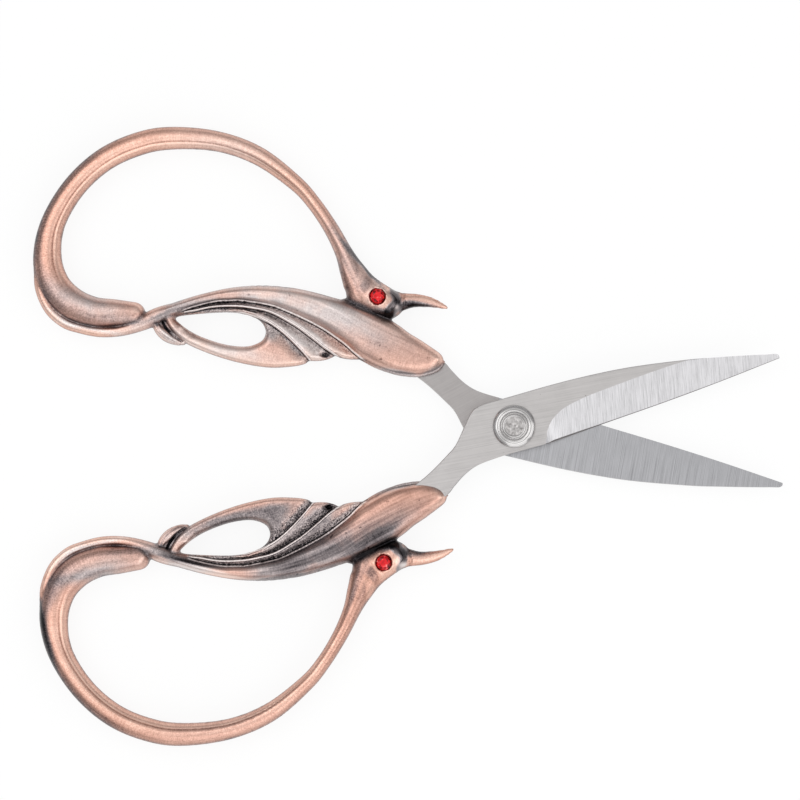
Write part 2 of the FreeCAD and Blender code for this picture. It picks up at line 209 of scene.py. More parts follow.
CURL = [
    (-61.3, 4.4, 1.1, 1.2), (-60, 3.3, 1.7, 1.5), (-58.6, 2.65, 1.9, 1.6), (-57, 2.35, 1.6, 1.4),
    (-56, 2.3, 1, 1.1)]

# The feather web: its rim with two scallops, the teardrop opening, and the steps between feathers.
WEB_RIM = [
    (-60.4, 6.2), (-55, 9.6), (-50, 11.6), (-45, 12.6), (-40, 12.6), (-34, 11.2), (-28, 8.6),
    (-25.3, 6.9), (-26.1, 5.8), (-27.2, 5.5), (-28.8, 5.2), (-30.2, 5.15), (-31.05, 5.3),
    (-31.6, 4.85), (-32.6, 4.25), (-33.8, 3.85), (-35.1, 3.55), (-35.7, 2.95), (-37.5, 2.15),
    (-41, 1.2), (-45, 0.9), (-49, 1.05), (-53, 1.6), (-56, 2.35), (-58, 3.4), (-59.5, 4.9)]
TEARDROP = [
    (-57.9, 6.05), (-55, 7.2), (-50, 8.6), (-46.8, 8.9), (-44.4, 8.35), (-43.15, 7), (-43.3, 5.4),
    (-44.8, 4.15), (-46.8, 3.55), (-50, 3.4), (-54, 3.95), (-57, 5.1)]
STEP_UNDER_WING = [
    (-62, 4.3), (-58, 6.6), (-55, 8.35), (-52, 9.75), (-50, 10.3), (-48, 10.75), (-44, 11),
    (-42, 10.9), (-38, 10.1), (-34, 9), (-30, 7.3), (-28, 6.15), (-25, 4.9)]
STEP_UNDER_FIRST = [
    (-62, 3), (-57.5, 6.5), (-55, 7.6), (-52, 8.85), (-48, 9.75), (-44, 9.95), (-42, 9.65),
    (-40, 9.05), (-38, 8.35), (-35, 6.95), (-33, 5.95), (-31.2, 5.3), (-29, 4.4), (-25, 2.6)]
STEP_UNDER_SECOND = [
    (-62, 1), (-50, 8), (-46, 8.75), (-43.3, 8.3), (-41, 7.4), (-39, 6.3), (-37, 5), (-35.1, 3.65),
    (-33, 2.3), (-25, -2)]
CURL_FLOOR = [
    (-60.4, 5, 0.9, 0.9), (-59.2, 3.95, 1.2, 0.9), (-58.3, 3.2, 1.2, 0.9), (-57.2, 2.65, 1, 0.9),
    (-56.2, 2.3, 0.6, 0.7)]
CURL_SLIT = [(-59.9, 4.7), (-59.2, 3.95), (-58.3, 3.2), (-57.2, 2.65), (-56.2, 2.3)]
CURL_LINE = [(-60.9, 4.3), (-60.2, 3.3), (-59.1, 2.55), (-57.6, 2.05), (-56.4, 2.0)]
NECK_CREASE = [
    (-45, 31.9), (-40, 28.5), (-35.4, 23.8), (-32.4, 20), (-30.4, 17.4), (-28.9, 15.2)]
GEM_CENTRE = (-26.3, 16.15)
GEM_RADIUS = 1.2
GEM_SEAT = 2.0

# Where the polishing left patina on, with a few entries that paint a highlight or shade instead:
# x, y, half length, half width, turn in degrees, then how dark it is and how grey.
PATINA_AND_PAINTED_LIGHT = [
    (-51.5, 8.4, 5.5, 0.4, 11, 0.22, 0.9), (-51.5, 9.6, 7.5, 1, 14, 0.16, 1),
    (-43, 9.4, 3.5, 1.6, -12, 0.1, 0.8), (-24.6, 13.7, 1.7, 0.55, -14, 0.5, 0.6),
    (-27.5, 13.75, 3.6, 0.4, -11, 0.3, 0.2), (-79.2, 7.8, 3.2, 0.8, -43, 0.06, 0.2),
    # Both entries on the next line lighten and grey the tail's edge by the crease: a painted
    # highlight.
    (-71.5, 1.3, 5.5, 0.42, 0, -0.14, 1), (-76.3, 2, 2.6, 0.4, -22, -0.16, 1),
    (-58.5, 8.6, 4, 0.5, 31, 0.2, 0.5), (-42.3, 6.6, 1.2, 1.4, 0, 0.18, 0.8),
    (-38.2, 5.8, 2.6, 0.7, -45, 0.12, 0.8), (-34.6, 7, 2.4, 0.5, -32, 0.1, 0.8),
    (-40, 8.6, 7, 1.6, -25, 0, 0.6), (-60.2, 5.7, 4.6, 0.9, 34, 0.3, 0.9),
    (-71, 5, 6, 2.2, 0, -0.05, 0.5), (-58.7, 3.2, 2.6, 1.5, -28, 0, 0.8),
    # The entries at (-20.5, 4.6) and (-14.8, 6.2) grey and darken the nose's lip: painted shade of
    # its side wall.
    (-55.6, 4.4, 2, 1.2, -10, 0, 0.6), (-20.5, 4.6, 5.5, 0.5, 0, 0.14, 1.4),
    (-14.8, 6.2, 2.2, 0.45, 40, 0.14, 1.4), (-38, 27.5, 8, 2.6, -42, 0.045, 0)]
PATINA_AND_PAINTED_LIGHT_ON = {
    "upper": [
        (-33, 12.2, 11, 2.6, -10, -0.1, 0.75), (-72, 5, 8, 2, -12, 0.02, 0.5),
        (-38, 7.5, 10, 3, -25, -0.2, 0.7), (-50, 2.4, 9, 1.4, 2, -0.1, 0.6),
        (-29.7, 20.75, 6.5, 0.38, -37, 0.5, 0.9), (-32.6, 18.4, 4.2, 0.5, -58, 0.4, 0.1),
        (-33.2, 22.2, 6, 2.4, -50, 0.07, 0.5), (-28, 17.6, 3.5, 1.6, -35, 0.05, 0.4),
        (-55, 35, 9, 2.5, 0, -0.06, 0.3), (-50, 12.3, 9, 0.8, 19, 0.2, 0.35),
        (-51, 9.6, 5, 0.5, 17, 0.22, 0.4), (-37, 14.1, 9, 0.7, 0, 0.12, 0.3),
        (-30, 9.5, 16, 4.5, -12, 0, 0.3), (-48, 2.4, 10, 1.6, 0, -0.06, 0.3),
        # In the next line, the entry at (-22.84, 15.16) is a painted highlight on the collar.
        (-79, 18, 8.5, 3.2, 78, 0.08, 0), (-22.84, 15.16, 0.45, 0.35, 20, -0.8, 1),
        (-20.9, 15.8, 1.5, 0.9, 10, 0.72, 0.9), (-18.9, 16.5, 2.3, 0.45, 6, 0.6, 0.8)],
    "lower": [
        (-82.6, 11, 9, 0.5, 90, 0.45, 0.7), (-72, 6, 6, 1.1, 5, 0.14, 0.6),
        (-79.5, 7, 4.5, 1.1, -52, 0.14, 0.1), (-36, 12.6, 15, 2.8, -9, 0.36, 0.7),
        (-36, 7.6, 8, 2.6, -30, 0.24, 0.7), (-42, 14, 9, 1, 3, 0.14, 0.2),
        (-58, 35.5, 14, 3, 0, 0.07, 0.1), (-34, 23, 7, 3, -45, 0.06, 0),
        # In the next line, the entry at (-23.25, 17.3) is a painted highlight on the collar.
        (-23.25, 17.3, 0.6, 0.4, 0, -0.7, 0.8), (-49, 3, 9, 1.4, 2, 0.38, 0.8),
        (-27.5, 12.3, 6, 1, -16, 0.22, 0.5), (-41.5, 4.5, 3.5, 2.5, -20, 0.15, 0.7),
        (-32, 18.6, 4.5, 0.4, -60, 0.32, 0.1), (-26.5, 15.5, 4.5, 3, 0, 0.08, 0),
        # In the next line, the entry at (-56.2, 9.2) is a painted highlight along the stem's outer
        # rim.
        (-30.5, 20.6, 6, 1.8, -48, 0.05, 0), (-56.2, 9.2, 6, 0.42, 27.7, -0.55, 0.95),
        (-57, 8, 5.5, 0.4, 28, 0.5, 0.2), (-20.5, 15.9, 2, 0.8, 10, 0.55, 0.6),
        (-23.9, 16.3, 0.6, 1.8, 0, -0.34, 0)],
}


def strand_field(stations, x, y, power):
    """Squared half thickness of a rounded bar, negative outside it, and coordinates along and
    across it for the grain."""
    distance, side, along, width, height = nearest_on(smooth_line(stations), x, y)
    across = 2 * distance / width
    return height ** 2 * (1 - across ** power), along, side * distance


def rim_profile(depth, radius):
    """A quarter-round rim: 0 at the edge, 1 from radius inwards, negative outside."""
    u = 1 - np.minimum(depth / radius, 1)
    return 1 - u * u


def pillow_field(outline, stations, x, y, power):
    """Squared half thickness of a cushion-shaped body that fills an outline; the stations give its
    width and half thickness along it."""
    depth = depth_inside(smooth_line(outline, 6, closed=True), x, y)
    distance, side, along, width, height = nearest_on(smooth_line(stations), x, y)
    share = 1 - np.clip(2 * depth / width, 0, 1)
    field = np.where(depth > 0, height ** 2 * (1 - share ** power), 4 * depth)
    return field, along, side * distance


def below_steps(x, y):
    """How far each point lies below each of the three steps between the feathers."""
    lines = (STEP_UNDER_WING, STEP_UNDER_FIRST, STEP_UNDER_SECOND)
    return [height_at(x, smooth_line(line)) - y for line in lines]


def feathered(x, y):
    """1 where the web carries feathers, 0 on the plain loop, at the curl and on the nose."""
    plain_loop = smoothstep(-54.4, -55.4, x) * (y < 5.3)
    return smoothstep(-57.6, -56.4, x) * (1 - plain_loop) * smoothstep(-25.6, -27.0, x)


def web_height(x, y):
    """Half thickness over the feather web: each feather slopes up from the step above it to its
    own lower rim, then drops to the next. The second field is 1 in the rough valleys."""
    steps = below_steps(x, y)
    valley_heights, rim_heights = (1.25, 1.0, 0.85), (1.95, 1.75, 1.6)
    widths = [np.maximum(steps[0] - steps[1], 0.3), np.maximum(steps[1] - steps[2], 0.5),
              np.full(x.shape, 3.4)]
    height = np.full(x.shape, 1.6)
    valley = np.zeros(x.shape)
    for index, (below, width) in enumerate(zip(steps, widths)):
        share = np.clip(below / width, 0, 1)
        low, high = valley_heights[index], rim_heights[index]
        surface = low + (high - low) * smoothstep(0.0, 0.8, share)
        to_rim = width - below
        if index < 2:
            surface = surface - 0.12 * np.exp(-((to_rim - 0.36) / 0.10) ** 2)
            surface = surface - 0.30 * smoothstep(0.14, 0.0, to_rim)
        height = np.where(below > 0, surface, height)
        valley = np.where(below > 0, 1 - smoothstep(0.25, 0.7, share), valley)
    shaped = feathered(x, y)
    return 1.6 + (height - 1.6) * shaped, valley * shaped


def feather_web(x, y):
    """The web between wing and loop, where its rough valleys lie, and the patina in its pit."""
    to_rim = depth_inside(smooth_line(WEB_RIM, 6, closed=True), x, y)
    to_hole = -depth_inside(smooth_line(TEARDROP, 10, closed=True), x, y)
    height, valley = web_height(x, y)
    pit = np.exp(-((x + 32.6) / 0.75) ** 2 - ((y - 5.0) / 0.45) ** 2)
    fold = np.exp(-((x + 35.45) / 0.35) ** 2 - ((y - 3.35) / 0.45) ** 2)
    height = height * (1 - 0.75 * pit) * (1 - 0.5 * fold)
    height += 0.05 * valley * value_noise(x * 2.6, y * 2.6, 7)
    height += 0.04 * valley * value_noise(x * 5.0, y * 5.0, 8)
    loop_side = (y < height_at(x, smooth_line(STEP_UNDER_SECOND))) | (x < -57)
    hole_radius = 0.35 + 0.95 * blurred(loop_side.astype(float), 8)
    profile = np.minimum(rim_profile(to_rim, 0.8), rim_profile(to_hole, hole_radius))
    return np.where(x < -24.6, height ** 2 * profile, -9.0), valley, 0.6 * pit


def ring_bar(x, y):
    """Neck and ring, with a line round them a little inside the middle; the share of the way
    across the bar; and how far the line has faded in."""
    field, along, across = strand_field(NECK_AND_RING, x, y, 2.3)
    ring_half = nearest_on(smooth_line(NECK_AND_RING), x, y)[3] / 2
    share = across / ring_half
    fade = smoothstep(12.0, 24.0, along) * smoothstep(82.0, 70.0, along)
    line = 0.22 * fade * np.exp(-((share - 0.42) / 0.09) ** 2)
    inner_strip = 0.10 * fade * smoothstep(0.35, 0.6, share)
    return (carve(field, line + inner_strip), along, across), share, fade


def wing_pillow(x, y):
    """The wing, with soft streaks along it."""
    power = 2.4 + 0.7 * smoothstep(-38.0, -26.0, x)
    field, along, across = pillow_field(WING_OUTLINE, WING, x, y, power)
    streaks = 0.05 * value_noise(along / 9, across * 1.6 + 20, 3)
    streaks += 0.025 * value_noise(along / 5, across * 3.4 + 29, 4)
    return carve(field, streaks), along, across


def head_and_beak(x, y):
    """The head ends in a rounded face and a glossy collar, with a groove before the beak."""
    field, *head_grain = pillow_field(HEAD_OUTLINE, HEAD, x, y, 2.2)
    beak, *beak_grain = pillow_field(BEAK_OUTLINE, BEAK, x, y, 2.0)
    groove, side = nearest_on(smooth_line(BEAK_GROOVE), x, y)[:2]
    behind = -side * groove
    collar = smoothstep(0.08, 0.24, behind) * smoothstep(2.1, 1.75, behind)
    ball = np.clip((x + 24.6) / 3.0, 0, 0.98)
    bulge = np.sqrt(np.clip(1 - ((behind - 1.05) / 0.95) ** 2, 0, 1))
    field = np.where(field > 0, field * (1 - ball ** 2) * (1 + 0.16 * bulge), field)
    beak = carve(beak, 0.3 * np.exp(-(groove / 0.17) ** 2))
    return (field, *head_grain), (beak, *beak_grain), collar


def flow_together(ring, head, x):
    """The ring's bar, with the neck running into the head without a crease."""
    neck = np.clip(0.5 + (head[0] - ring[0]) / 3.0, 0, 1)
    joined = head[0] * neck + ring[0] * (1 - neck) + 0.75 * neck * (1 - neck)
    near_neck = (head[0] > -1.5) & (ring[0] > -1.5) & (x > -36)
    return (np.where(near_neck, joined, ring[0]), *ring[1:])


def thickest(forms):
    """The thickest of the forms at each point, with its own grain. They meet in creases."""
    solid, grain_u, grain_v = forms[0]
    for field, u, v in forms[1:]:
        higher = field > solid
        solid = np.where(higher, field, solid)
        grain_u = np.where(higher, u, grain_u)
        grain_v = np.where(higher, v, grain_v)
    return solid, grain_u, grain_v


def flank_patina_and_shade(along, share, fade):
    """Darker down the outer flank of the bar, darkest on the far left of the ring: patina with
    painted shade of the flank. A strip near the inner edge is lighter: a painted highlight.
    """
    left_side = smoothstep(42.0, 58.0, along) * smoothstep(84.0, 70.0, along)
    flank = (0.12 + 0.40 * left_side) * smoothstep(-0.05, -0.85, share)
    flank += 0.06 + 0.08 * np.exp(-((share + 0.35) / 0.2) ** 2)
    return flank - 0.10 * fade * smoothstep(0.5, 0.75, share)


def carved_lines(solid, x, y):
    """Cuts the curl's slit and line and the neck's crease, and says how dark they are."""
    slit, _, down_slit = nearest_on(smooth_line(CURL_SLIT), x, y)
    crease = nearest_on(smooth_line(NECK_CREASE), x, y)[0]
    line = nearest_on(smooth_line(CURL_LINE), x, y)[0]
    in_slit = np.exp(-(slit / 0.17) ** 2)
    in_crease = smoothstep(30.0, 22.0, y) * np.exp(-(crease / 0.3) ** 2)
    in_line = np.exp(-(line / 0.13) ** 2)
    dark = (0.15 + 0.40 * smoothstep(3.2, 1.4, down_slit)) * in_slit
    dark += 0.07 * in_crease + 0.35 * in_line
    return carve(solid, 0.6 * in_slit + 0.10 * in_crease + 0.15 * in_line), dark


def gem_seat(solid, x, y):
    """A flat seat for each stone, with a small raised lip round it."""
    thickness = np.sqrt(np.maximum(solid, 0))
    from_gem = np.hypot(x - GEM_CENTRE[0], y - GEM_CENTRE[1])
    lip = 0.10 * np.exp(-((from_gem - GEM_RADIUS - 0.28) / 0.16) ** 2)
    seat_wall = smoothstep(GEM_RADIUS + 0.20, GEM_RADIUS + 0.05, from_gem)
    seated = thickness + lip
    seated = seated * (1 - seat_wall) + np.minimum(seated, GEM_SEAT) * seat_wall
    return np.where((solid > 0.5) & (from_gem < 3), np.minimum(seated, 2.95) ** 2, solid)


def half_relief(x, y):
    """One casting over the grid: its signed squared half thickness, and a dictionary of what the
    material needs to know."""
    ring, share, fade = ring_bar(x, y)
    wing = wing_pillow(x, y)
    head, beak, collar = head_and_beak(x, y)
    web, valley, pit = feather_web(x, y)
    ring = flow_together(ring, head, x)
    strands = [strand_field(stations, x, y, power) for stations, power in
               ((LEDGE, 2.2), (NOSE_LIP, 4.0), (TAIL_AND_STEM, 2.4), (CURL, 2.2),
                (CURL_FLOOR, 4.0))]
    solid, grain_u, grain_v = thickest([ring, head, beak, *strands, wing, (web, x, y)])
    on_web = (web >= solid) & (web > 0)
    on_ring, on_wing, on_head = [(form[0] >= solid - 1e-6) & (form[0] > 0)
                                 for form in (ring, wing, head)]

    # The seam between head and wing is a soft cast hollow.
    seam = nearest_on(np.array(LEDGE)[:, :2], x, y)[0]
    softened = np.exp(-(seam / 0.7) ** 2)
    solid = solid * (1 - softened) + blurred(solid, 3) * softened
    solid, line_marks = carved_lines(solid, x, y)
    return gem_seat(solid, x, y), {
        "granular": np.where(on_web, valley, 0.0),
        "marks": np.where(on_web, pit, 0.0) + line_marks,
        "flank": np.where(on_ring, flank_patina_and_shade(ring[1], share, fade), 0),
        "gloss": blurred(np.where(on_head, collar, 0.0), 1),
        "grain": (grain_u, grain_v),
        "steps": [np.clip(below, -2, 2) for below in below_steps(x, y)],
        "bar": (share, np.where(on_ring, fade, 0.0), feathered(x, y)),
        "wing": blurred(on_wing.astype(float), 2),
    }


def carve(field, depth):
    """Takes a depth off the half thickness, where there is metal."""
    thickness = np.sqrt(np.maximum(field, 1e-6))
    depth = np.minimum(depth, 0.7 * thickness)
    return np.where(field > 0.3, (thickness - depth) ** 2, field)


def patina_and_light_fields(stains, x, y):
    """How dark and how grey the patina is, with the painted highlights and shade from the table."""
    total = np.zeros((2,) + x.shape)
    for cx, cy, half_length, half_width, turn, *strengths in stains:
        c, s = math.cos(math.radians(turn)), math.sin(math.radians(turn))
        u, v = (x - cx) * c + (y - cy) * s, -(x - cx) * s + (y - cy) * c
        spot = np.exp(-(u / half_length) ** 2 - (v / half_width) ** 2)
        total += np.array(strengths)[:, None, None] * spot
    return total


# ------------ mesh making


def graded(stops):
    """Grid positions through stops of (position, spacing up to the next stop)."""
    values = []
    for (start, spacing), (end, _) in zip(stops, stops[1:]):
        count = max(1, round((end - start) / spacing))
        values.extend(start + (end - start) * np.arange(count) / count)
    return np.array(values + [stops[-1][0]])


def sample(field, xs, ys, x, y):
    """Bilinear reading of a grid field at scattered points."""
    i = np.clip(np.searchsorted(xs, x) - 1, 0, len(xs) - 2)
    j = np.clip(np.searchsorted(ys, y) - 1, 0, len(ys) - 2)
    u = (x - xs[i]) / (xs[i + 1] - xs[i])
    v = (y - ys[j]) / (ys[j + 1] - ys[j])
    return ((field[i, j] * (1 - v) + field[i, j + 1] * v) * (1 - u)
            + (field[i + 1, j] * (1 - v) + field[i + 1, j + 1] * v) * u)


SQUARE = ((0, 0), (1, 0), (1, 1), (0, 1))


def fill_crossings(value):
    """Fills a corner wherever four neighbours in a plane alternate between metal and air, so that
    each edge of the skin has exactly two faces."""
    sliver = 0.001
    for _ in range(4):
        for a, b in ((0, 1), (0, 2), (1, 2)):
            corners = []
            for step_a, step_b in SQUARE:
                part = [slice(None)] * 3
                part[a] = slice(step_a, value.shape[a] - 1 + step_a)
                part[b] = slice(step_b, value.shape[b] - 1 + step_b)
                corners.append(value[tuple(part)])
            metal = [corner > 0 for corner in corners]
            first = metal[0] & metal[2] & ~metal[1] & ~metal[3]
            second = metal[1] & metal[3] & ~metal[0] & ~metal[2]
            corners[1][first] = sliver
            corners[0][second] = sliver
    return value


def skin(solid, xs, ys, zs):
    """A closed quad skin over the points where z squared is less than the solid field."""
    value = fill_crossings(solid[:, :, None] - (zs ** 2)[None, None, :])
    cells = tuple(n - 1 for n in value.shape)
    total = np.zeros(cells + (3,))
    count = np.zeros(cells)
    axes = (xs, ys, zs)
    quads = []
    for axis in range(3):
        a, b = np.delete(value, -1, axis), np.delete(value, 0, axis)
        edges = np.argwhere((a > 0) != (b > 0))
        va, vb = a[tuple(edges.T)], b[tuple(edges.T)]
        share = va / (va - vb)
        point = np.stack([axes[k][edges[:, k]] for k in range(3)], 1)
        reach = axes[axis][edges[:, axis] + 1] - axes[axis][edges[:, axis]]
        point[:, axis] += share * reach
        p, q = [k for k in range(3) if k != axis]
        keep = ((edges[:, p] > 0) & (edges[:, q] > 0)
                & (edges[:, p] < value.shape[p] - 1) & (edges[:, q] < value.shape[q] - 1))
        around = []
        for dp, dq in SQUARE:
            cell = edges.copy()
            cell[:, p] -= dp
            cell[:, q] -= dq
            index = tuple(cell[keep].T)
            np.add.at(total, index, point[keep])
            np.add.at(count, index, 1)
            around.append(np.ravel_multi_index(index, cells))
        quad = np.stack(around, 1)
        inward = (va[keep] > 0) == (axis == 1)
        quad[inward] = quad[inward][:, ::-1]
        quads.append(quad)
    quads = np.concatenate(quads)
    used = np.unique(quads)
    return total.reshape(-1, 3)[used] / count.reshape(-1)[used, None], np.searchsorted(used, quads)


def settle(points, solid, xs, ys):
    """Moves skin points onto the exact surface."""
    slope_x, slope_y = np.gradient(solid, xs, ys)
    for _ in range(3):
        x, y, z = points.T
        error = sample(solid, xs, ys, x, y) - z ** 2
        slope = np.stack([sample(slope_x, xs, ys, x, y), sample(slope_y, xs, ys, x, y), -2 * z], 1)
        move = -error / np.maximum((slope ** 2).sum(1), 0.2)
        shift = slope * move[:, None]
        reach = np.linalg.norm(shift, axis=1)
        shift *= np.minimum(1, 0.08 / np.maximum(reach, 1e-9))[:, None]
        points = points + shift
    return points


def scene_object(name, data):
    obj = bpy.data.objects.new(name, data)
    bpy.context.scene.collection.objects.link(obj)
    return obj


def mesh_object(name, points, faces, place, smooth=True):
    """An object in its place, from points in millimetres and faces of any size."""
    mesh = bpy.data.meshes.new(name)
    mesh.from_pydata((np.asarray(points) * MM).tolist(), [], faces)
    mesh.validate()
    mesh.transform(place)
    if smooth:
        mesh.shade_smooth()
    return scene_object(name, mesh)


def add_attribute(mesh, name, values):
    """Gives each point a number, or a vector."""
    values = np.asarray(values, np.float32)
    kind, key = ("FLOAT_VECTOR", "vector") if values.ndim == 2 else ("FLOAT", "value")
    mesh.attributes.new(name, kind, "POINT").data.foreach_set(key, values.ravel())


# ------------ materials


def rgb(red, green, blue):
    """A colour as written in 0..255 display values, in linear light."""
    linear = []
    for part in (red, green, blue):
        c = part / 255
        linear.append(c / 12.92 if c <= 0.04045 else ((c + 0.055) / 1.055) ** 2.4)
    return (*linear, 1.0)


class Nodes:
    """A short way to lay out a material's nodes."""

    def __init__(self, name):
        self.material = bpy.data.materials.new(name)
        self.material.use_nodes = True
        self.tree = self.material.node_tree
        self.shader = self.tree.nodes["Principled BSDF"]

    def add(self, kind, inputs=None, **settings):
        node = self.tree.nodes.new(kind)
        for key, value in settings.items():
            setattr(node, key, value)
        for key, value in (inputs or {}).items():
            self.set(node, key, value)
        return node

    def set(self, node, key, value):
        if isinstance(value, bpy.types.NodeSocket):
            self.tree.links.new(value, node.inputs[key])
        else:
            node.inputs[key].default_value = value

    def number(self, name):
        return self.add("ShaderNodeAttribute", attribute_name=name).outputs["Fac"]

    def vector(self, name):
        return self.add("ShaderNodeAttribute", attribute_name=name).outputs["Vector"]

    def place(self):
        return self.add("ShaderNodeTexCoord").outputs["Object"]

    def parts(self, vector):
        return self.add("ShaderNodeSeparateXYZ", {"Vector": vector}).outputs

    def noise(self, vector, scale, detail, roughness=0.55):
        inputs = {"Vector": vector, "Scale": scale, "Detail": detail, "Roughness": roughness}
        return self.add("ShaderNodeTexNoise", inputs).outputs["Fac"]

    def stretched(self, vector, scale, detail, roughness):
        """Noise with its own scale along each axis."""
        inputs = {"Vector": vector, "Scale": scale}
        mapping = self.add("ShaderNodeMapping", inputs).outputs["Vector"]
        return self.noise(mapping, 1.0, detail, roughness)

    def ramp(self, value, stops):
        node = self.add("ShaderNodeValToRGB", {"Fac": value})
        elements = node.color_ramp.elements
        while len(elements) < len(stops):
            elements.new(0.5)
        for element, (position, colour) in zip(elements, stops):
            element.position = position
            element.color = rgb(*colour)
        return node.outputs["Color"]

    def remap(self, value, low, high, to_low=0.0, to_high=1.0):
        inputs = {"Value": value, "From Min": low, "From Max": high, "To Min": to_low,
                  "To Max": to_high}
        return self.add("ShaderNodeMapRange", inputs).outputs["Result"]

    def band(self, value, centre, half):
        """1 near a value, 0 further from it than half."""
        away = self.math("ABSOLUTE", self.plus(value, -centre), 0.0)
        return self.remap(away, 0.5 * half, half, 1.0, 0.0)

    def math(self, operation, a, b):
        return self.add("ShaderNodeMath", {0: a, 1: b}, operation=operation).outputs["Value"]

    def plus(self, total, *values):
        for value in values:
            total = self.math("ADD", total, value)
        return total

    def times(self, a, b):
        return self.math("MULTIPLY", a, b)

    def swing(self, value, amount):
        """Noise as a swing about zero."""
        return self.times(self.plus(value, -0.5), amount)

    def mix(self, factor, a, b):
        return self.add("ShaderNodeMix", {0: factor, 6: a, 7: b}, data_type="RGBA").outputs[2]

    def bump(self, height, strength, distance, normal=None):
        inputs = {"Height": height, "Strength": strength, "Distance": distance}
        if normal is not None:
            inputs["Normal"] = normal
        return self.add("ShaderNodeBump", inputs).outputs["Normal"]

    def finish(self, colour, metallic, roughness, normal=None):
        self.set(self.shader, "Base Color", colour)
        self.set(self.shader, "Metallic", metallic)
        self.set(self.shader, "Roughness", roughness)
        if normal is not None:
            self.set(self.shader, "Normal", normal)
        return self.material


def drawn_lines(n):
    """Painted shadow under each step between the feathers with patina in its corner, patina in the
    groove above it, and a painted highlight along each step's edge; patina in the groove of the
    line round the ring and a painted highlight on its ridge: how much they darken the metal, and
    the step highlight."""
    bar = n.parts(n.vector("bar"))
    steps = n.parts(n.vector("steps"))
    step_shade_and_patina, step_highlight = 0.0, 0.0
    for axis in "XYZ":
        step_shade_and_patina = n.math("MAXIMUM", step_shade_and_patina, n.band(steps[axis], 0.08, 0.11))
        step_highlight = n.math("MAXIMUM", step_highlight, n.band(steps[axis], -0.16, 0.15))
    for axis in "YZ":
        step_shade_and_patina = n.math("MAXIMUM", step_shade_and_patina, n.times(n.band(steps[axis], -0.40, 0.08), 0.6))
    step_shade_and_patina = n.times(step_shade_and_patina, bar["Z"])
    step_highlight = n.times(step_highlight, bar["Z"])
    groove = n.times(n.band(bar["X"], 0.42, 0.08), bar["Y"])
    # Lighter along the ridge: a painted highlight.
    ridge = n.times(n.band(bar["X"], 0.55, 0.09), bar["Y"])
    darker = n.plus(n.times(step_shade_and_patina, 0.6), n.times(step_highlight, -0.34), n.times(groove, 0.24),
                    n.times(ridge, -0.12))
    return darker, step_highlight


def copper_material():
    """Antique copper: rosy and satin on the high places, grey-brown to black in the hollows, with
    the short scratches of a wire brush across each bar and softer ones along it."""
    n = Nodes("antique_copper")
    hollow, film, granular, silk, gloss = [
        n.number(name) for name in ("hollow", "film", "granular", "silk", "gloss")]
    grain = n.vector("grain")
    place = n.place()
    cloud = n.noise(place, 230.0, 4.0)
    speck = n.noise(place, 4200.0, 3.0, 0.6)
    pits = n.noise(place, 900.0, 2.0, 0.5)
    along = n.stretched(grain, (0.3, 4.0, 3.0), 4.0, 0.6)
    across = n.stretched(grain, (7.0, 0.9, 0.6), 4.0, 0.65)
    streaks = n.stretched(grain, (0.10, 2.6, 1.0), 5.0, 0.7)
    wear = n.plus(n.swing(cloud, 0.24), n.swing(along, 0.26), n.swing(across, 0.38),
                  n.times(n.swing(speck, 0.65), n.remap(silk, 0, 1, 1, 0.45)),
                  n.times(n.swing(streaks, 0.60), silk),
                  n.times(n.swing(speck, 1.6), granular),
                  n.times(n.remap(pits, 0.68, 0.74, 0.0, 0.30), n.remap(silk, 0, 0.3, 0.3, 1)))
    drawn, step_highlight = drawn_lines(n)
    aged = n.plus(hollow, n.times(wear, n.remap(gloss, 0, 1, 1, 0.15)), drawn)
    copper = n.ramp(aged, [(0.0, (242, 204, 186)), (0.25, (216, 170, 152)),
                           (0.45, (184, 140, 124)), (0.62, (136, 101, 91)),
                           (0.80, (78, 61, 59)), (1.0, (26, 23, 24))])
    pewter = n.ramp(aged, [(0.0, (228, 219, 216)), (0.35, (186, 174, 172)),
                           (0.60, (128, 120, 121)), (0.85, (60, 56, 59)), (1.0, (26, 25, 27))])
    grey = n.plus(n.math("MAXIMUM", film, n.times(granular, 0.85)),
                  n.remap(hollow, 0.35, 0.75, 0.0, 0.6), n.times(step_highlight, 0.8))
    grey = n.math("MINIMUM", n.times(grey, n.remap(cloud, 0.3, 0.7, 0.6, 1.25)), 1.0)
    rough = n.plus(n.remap(across, 0.3, 0.7, 0.34, 0.46), n.times(granular, 0.1),
                   n.remap(aged, 0.75, 1.0, 0.0, -0.22), n.times(gloss, -0.26),
                   n.times(silk, -0.05))
    bumps = n.bump(across, n.remap(gloss, 0, 1, 0.30, 0.03), 0.00005)
    bumps = n.bump(along, 0.20, 0.00005, bumps)
    bumps = n.bump(speck, n.remap(granular, 0.0, 1.0, 0.10, 0.75), 0.00008, bumps)
    return n.finish(n.mix(grey, copper, pewter), 1.0, n.math("MAXIMUM", rough, 0.10), bumps)


